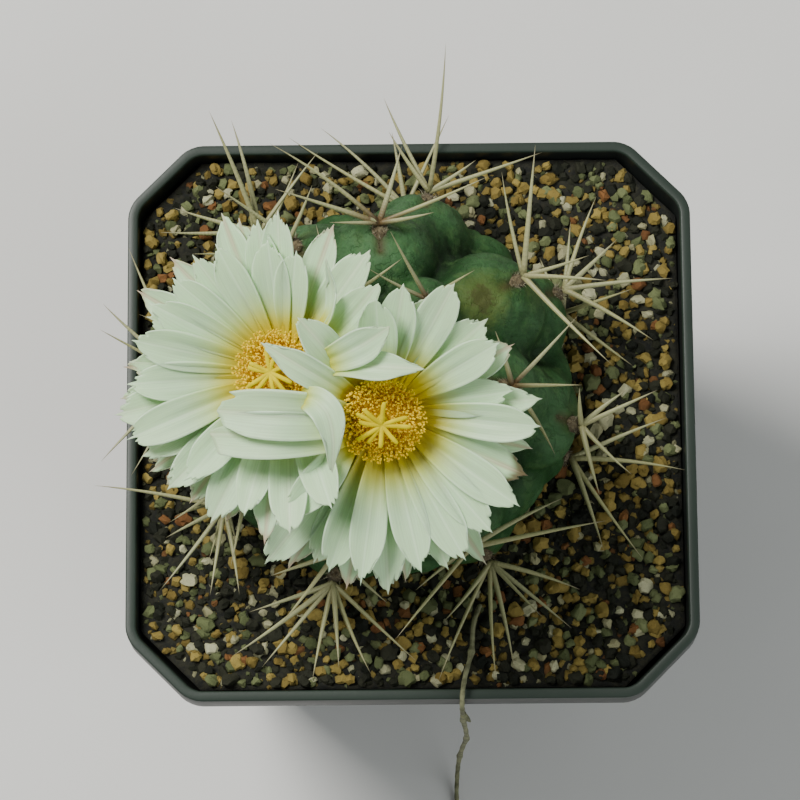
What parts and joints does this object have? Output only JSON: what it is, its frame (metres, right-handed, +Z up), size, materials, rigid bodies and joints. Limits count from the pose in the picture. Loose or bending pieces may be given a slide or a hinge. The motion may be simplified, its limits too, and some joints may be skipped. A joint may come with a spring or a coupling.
{
  "type": "potted thelocactus",
  "caption": "Squat tubercled cactus with straw spines and open white flowers, in a square plastic pot of grit with cut corners and a turned-out lip.",
  "frame": {"origin": "middle of the pot's flat base, on the surface it stands on", "axes": "+Z up out of the pot, +X to the right and -Y towards the front, where the dry stem hangs over the rim"},
  "size_m": [0.115, 0.1391, 0.1595],
  "materials": {
    "pot": "black moulded plastic, satin, with a grey-green sheen on the rim",
    "grit": null,
    "skin": null,
    "spines": "straw and grey-tan, dry, ringed, on pale wool",
    "petals": "silky white petals with a creamy throat and pink midstripes outside",
    "stamens": "golden pollen-dusted anthers on pale filaments",
    "stigma": "bright yellow, velvety",
    "stem": "dry greyish-tan stem"
  },
  "bodies": {
    "root": {"pot": "pot", "grit-bed": "grit", "cactus-body": "skin", "dry-stem": "stem", "left-bloom-petals": "petals", "left-bloom-stamens": "stamens", "left-bloom-style": "stigma", "right-bloom-petals": "petals", "right-bloom-stamens": "stamens", "right-bloom-style": "stigma", "spine-cluster-1-1": "spines", "spine-cluster-1-2": "spines", "spine-cluster-1-3": "spines", "spine-cluster-2-1": "spines", "spine-cluster-2-2": "spines", "spine-cluster-2-3": "spines", "spine-cluster-2-4": "spines", "spine-cluster-3-1": "spines", "spine-cluster-3-2": "spines", "spine-cluster-3-3": "spines", "spine-cluster-4-1": "spines", "spine-cluster-4-2": "spines", "spine-cluster-4-3": "spines", "spine-cluster-5-1": "spines", "spine-cluster-5-2": "spines", "spine-cluster-5-3": "spines", "spine-cluster-6-1": "spines", "spine-cluster-6-2": "spines", "spine-cluster-6-3": "spines", "spine-cluster-6-4": "spines", "spine-cluster-7-1": "spines", "spine-cluster-7-2": "spines", "spine-cluster-7-3": "spines", "spine-cluster-8-1": "spines", "spine-cluster-8-2": "spines", "spine-cluster-8-3": "spines", "spine-cluster-8-4": "spines"}
  },
  "joints": []
}
